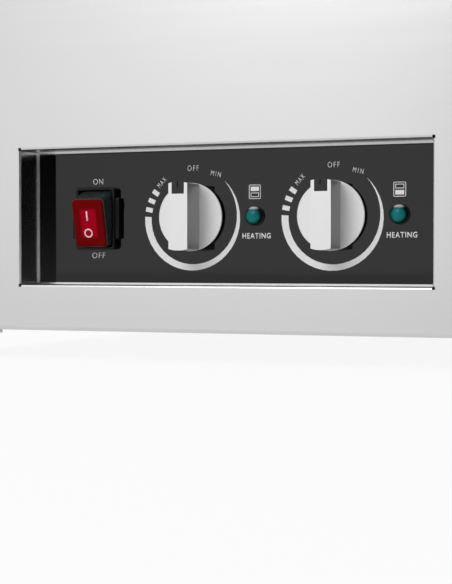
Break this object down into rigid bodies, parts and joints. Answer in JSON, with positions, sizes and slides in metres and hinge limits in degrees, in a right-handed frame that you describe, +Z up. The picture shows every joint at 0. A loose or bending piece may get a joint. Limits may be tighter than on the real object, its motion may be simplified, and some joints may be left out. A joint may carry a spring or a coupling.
{
  "type": "electric bain-marie",
  "caption": "Countertop electric bain-marie: steel body with wet wells, lift-out food pans under hinged covers, recessed front controls and a rear drain valve",
  "frame": {"origin": "on the resting plane, under the middle of the box that holds the whole object", "axes": "+X to the right of someone facing the controls, +Y from the control face to the back, +Z up"},
  "size_m": [0.4244, 0.5418, 0.3085],
  "materials": {
    "body_steel": "satin stainless steel, brushed level",
    "base_steel": "plain mill finish",
    "foot_rubber": "matte",
    "screw_steel": "satin",
    "tank_steel": "plain mill finish",
    "element_metal": "dark heat-stained sheath",
    "inner_plastic": "matte moulding",
    "control_gloss": "mirror-like gloss black",
    "white_print": "screen print",
    "switch_black": "satin moulding",
    "rocker_red": "translucent red",
    "rocker_smoke": "smoky flexible moulding",
    "sensor_brass": "drawn tube",
    "bright_steel": "ground",
    "knob_black": "fine-grained moulding",
    "knob_silver": "satin",
    "lamp_black": "gloss",
    "lamp_lens": "translucent lens",
    "loom_grey": "sleeved",
    "gland_black": "moulded",
    "pipe_steel": "drawn",
    "valve_brass": "nickel-plated",
    "grip_red": "dipped sleeve",
    "pan_steel": "pressed, bright",
    "lid_steel": "satin",
    "handle_steel": "polished rod"
  },
  "bodies": {
    "root": {"front_panel": "body_steel", "rear_panel": "body_steel", "left_panel": "body_steel", "right_panel": "body_steel", "top_deck": "body_steel", "base_plate": "base_steel", "feet": "foot_rubber", "foot_screws": "screw_steel", "panel_screws": "screw_steel", "base_screws": "screw_steel", "front_tank": "tank_steel", "rear_tank": "tank_steel", "front_element": "element_metal", "rear_element": "element_metal", "element_clamps": "tank_steel", "clamp_nuts": "screw_steel", "thermal_cutouts": "inner_plastic", "control_plate": "control_gloss", "plate_nuts": "screw_steel", "dial_print": "white_print", "switch_frame": "switch_black", "switch_body": "switch_black", "left_thermostat": "inner_plastic", "right_thermostat": "inner_plastic", "thermostat_screws": "screw_steel", "left_sensor": "sensor_brass", "right_sensor": "sensor_brass", "lamp_rims": "lamp_black", "lamp_lenses": "lamp_lens", "lamp_bodies": "inner_plastic", "terminal_block": "inner_plastic", "wiring_loom": "loom_grey", "cable_gland": "gland_black", "gland_nut": "gland_black", "drain_manifold": "pipe_steel", "valve_body": "valve_brass"},
    "rocker": {"rocker": "rocker_red", "rocker_cover": "rocker_smoke"},
    "left_knob": {"left_shaft": "bright_steel", "left_knob_core": "knob_black", "left_knob_cap": "knob_silver", "left_pointer": "knob_black"},
    "right_knob": {"right_shaft": "bright_steel", "right_knob_core": "knob_black", "right_knob_cap": "knob_silver", "right_pointer": "knob_black"},
    "drain_lever": {"valve_ball": "bright_steel", "valve_lever": "pipe_steel", "lever_grip": "grip_red"},
    "front_pan": {"front_pan": "pan_steel"},
    "front_cover": {"front_cover": "lid_steel", "front_hinge_pin": "bright_steel"},
    "front_flap": {"front_flap": "lid_steel", "front_handle": "handle_steel"},
    "rear_pan": {"rear_pan": "pan_steel"},
    "rear_cover": {"rear_cover": "lid_steel", "rear_hinge_pin": "bright_steel"},
    "rear_flap": {"rear_flap": "lid_steel", "rear_handle": "handle_steel"}
  },
  "joints": [
    {"name": "rocker_tip", "type": "hinge", "parent": "root", "child": "rocker", "pos_m": [-0.0885, -0.24825, 0.0877], "axis": [-1, 0, 0], "range_deg": [0, 26.8]},
    {"name": "left_knob_turn", "type": "hinge", "parent": "root", "child": "left_knob", "pos_m": [-0.0248, -0.24525, 0.088], "axis": [0, 1, 0], "range_deg": [0, 318]},
    {"name": "right_knob_turn", "type": "hinge", "parent": "root", "child": "right_knob", "pos_m": [0.0647, -0.24525, 0.088], "axis": [0, 1, 0], "range_deg": [0, 318]},
    {"name": "drain_turn", "type": "hinge", "parent": "root", "child": "drain_lever", "pos_m": [0.13, 0.23095, 0.104], "axis": [0, 0, -1], "range_deg": [0, 90]},
    {"name": "front_pan_lift", "type": "slide", "parent": "root", "child": "front_pan", "axis": [0, 0, 1], "range_m": [0, 0.16]},
    {"name": "front_cover_lift", "type": "slide", "parent": "front_pan", "child": "front_cover", "axis": [0, 0, 1], "range_m": [0, 0.12]},
    {"name": "front_flap_swing", "type": "hinge", "parent": "front_cover", "child": "front_flap", "pos_m": [0, -0.10125, 0.275], "axis": [-1, 0, 0], "range_deg": [0, 105]},
    {"name": "rear_pan_lift", "type": "slide", "parent": "root", "child": "rear_pan", "axis": [0, 0, 1], "range_m": [0, 0.16]},
    {"name": "rear_cover_lift", "type": "slide", "parent": "rear_pan", "child": "rear_cover", "axis": [0, 0, 1], "range_m": [0, 0.12]},
    {"name": "rear_flap_swing", "type": "hinge", "parent": "rear_cover", "child": "rear_flap", "pos_m": [0, 0.09875, 0.275], "axis": [-1, 0, 0], "range_deg": [0, 105]}
  ]
}
